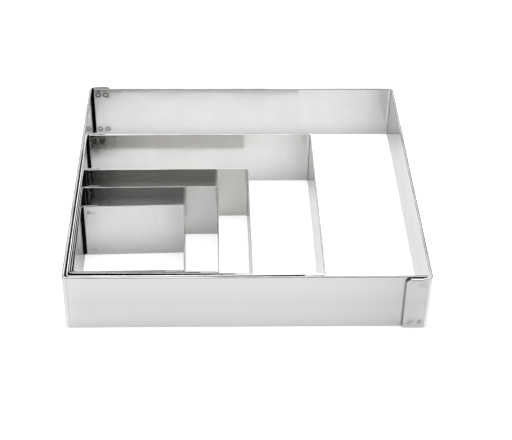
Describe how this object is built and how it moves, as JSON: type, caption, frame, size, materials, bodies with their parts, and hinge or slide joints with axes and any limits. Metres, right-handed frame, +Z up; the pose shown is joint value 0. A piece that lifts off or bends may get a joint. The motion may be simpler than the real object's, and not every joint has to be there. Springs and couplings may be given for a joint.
{
  "type": "square pastry ring set",
  "caption": "Nest of square, bottomless pastry rings of bent and spot-welded stainless sheet, each standing loose inside the next larger one, for shaping pastry.",
  "frame": {"origin": "middle of the largest ring's base, on the surface that the nest stands on", "axes": "+Z up; +X along the front wall to the right; +Y from the front wall to the back wall; the smaller rings are pushed to the front left corner"},
  "size_m": [0.2, 0.2, 0.035],
  "materials": {
    "ring_1_steel": "polished",
    "ring_2_steel": "polished",
    "ring_3_steel": "polished",
    "ring_4_steel": "polished",
    "ring_5_steel": "polished",
    "weld_steel": "satin"
  },
  "bodies": {
    "ring_1": {"ring_1_front_left_half": "ring_1_steel", "ring_1_back_right_half": "ring_1_steel", "ring_1_front_weld_1": "weld_steel", "ring_1_front_weld_2": "weld_steel", "ring_1_front_weld_3": "weld_steel", "ring_1_front_weld_4": "weld_steel", "ring_1_back_weld_1": "weld_steel", "ring_1_back_weld_2": "weld_steel", "ring_1_back_weld_3": "weld_steel", "ring_1_back_weld_4": "weld_steel"},
    "ring_2": {"ring_2_front_left_half": "ring_2_steel", "ring_2_back_right_half": "ring_2_steel", "ring_2_front_weld_1": "weld_steel", "ring_2_front_weld_2": "weld_steel", "ring_2_front_weld_3": "weld_steel", "ring_2_front_weld_4": "weld_steel", "ring_2_back_weld_1": "weld_steel", "ring_2_back_weld_2": "weld_steel", "ring_2_back_weld_3": "weld_steel", "ring_2_back_weld_4": "weld_steel"},
    "ring_3": {"ring_3_front_left_half": "ring_3_steel", "ring_3_back_right_half": "ring_3_steel", "ring_3_front_weld_1": "weld_steel", "ring_3_front_weld_2": "weld_steel", "ring_3_front_weld_3": "weld_steel", "ring_3_front_weld_4": "weld_steel", "ring_3_back_weld_1": "weld_steel", "ring_3_back_weld_2": "weld_steel", "ring_3_back_weld_3": "weld_steel", "ring_3_back_weld_4": "weld_steel"},
    "ring_4": {"ring_4_front_left_half": "ring_4_steel", "ring_4_back_right_half": "ring_4_steel", "ring_4_front_weld_1": "weld_steel", "ring_4_front_weld_2": "weld_steel", "ring_4_front_weld_3": "weld_steel", "ring_4_front_weld_4": "weld_steel", "ring_4_back_weld_1": "weld_steel", "ring_4_back_weld_2": "weld_steel", "ring_4_back_weld_3": "weld_steel", "ring_4_back_weld_4": "weld_steel"},
    "ring_5": {"ring_5_front_left_half": "ring_5_steel", "ring_5_back_right_half": "ring_5_steel", "ring_5_front_weld_1": "weld_steel", "ring_5_front_weld_2": "weld_steel", "ring_5_front_weld_3": "weld_steel", "ring_5_front_weld_4": "weld_steel", "ring_5_back_weld_1": "weld_steel", "ring_5_back_weld_2": "weld_steel", "ring_5_back_weld_3": "weld_steel", "ring_5_back_weld_4": "weld_steel"}
  },
  "joints": [
    {"name": "ring_2_lift", "type": "slide", "parent": "ring_1", "child": "ring_2", "axis": [0, 0, 1], "range_m": [0, 0.042]},
    {"name": "ring_3_lift", "type": "slide", "parent": "ring_1", "child": "ring_3", "axis": [0, 0, 1], "range_m": [0, 0.042]},
    {"name": "ring_4_lift", "type": "slide", "parent": "ring_1", "child": "ring_4", "axis": [0, 0, 1], "range_m": [0, 0.042]},
    {"name": "ring_5_lift", "type": "slide", "parent": "ring_1", "child": "ring_5", "axis": [0, 0, 1], "range_m": [0, 0.042]}
  ]
}
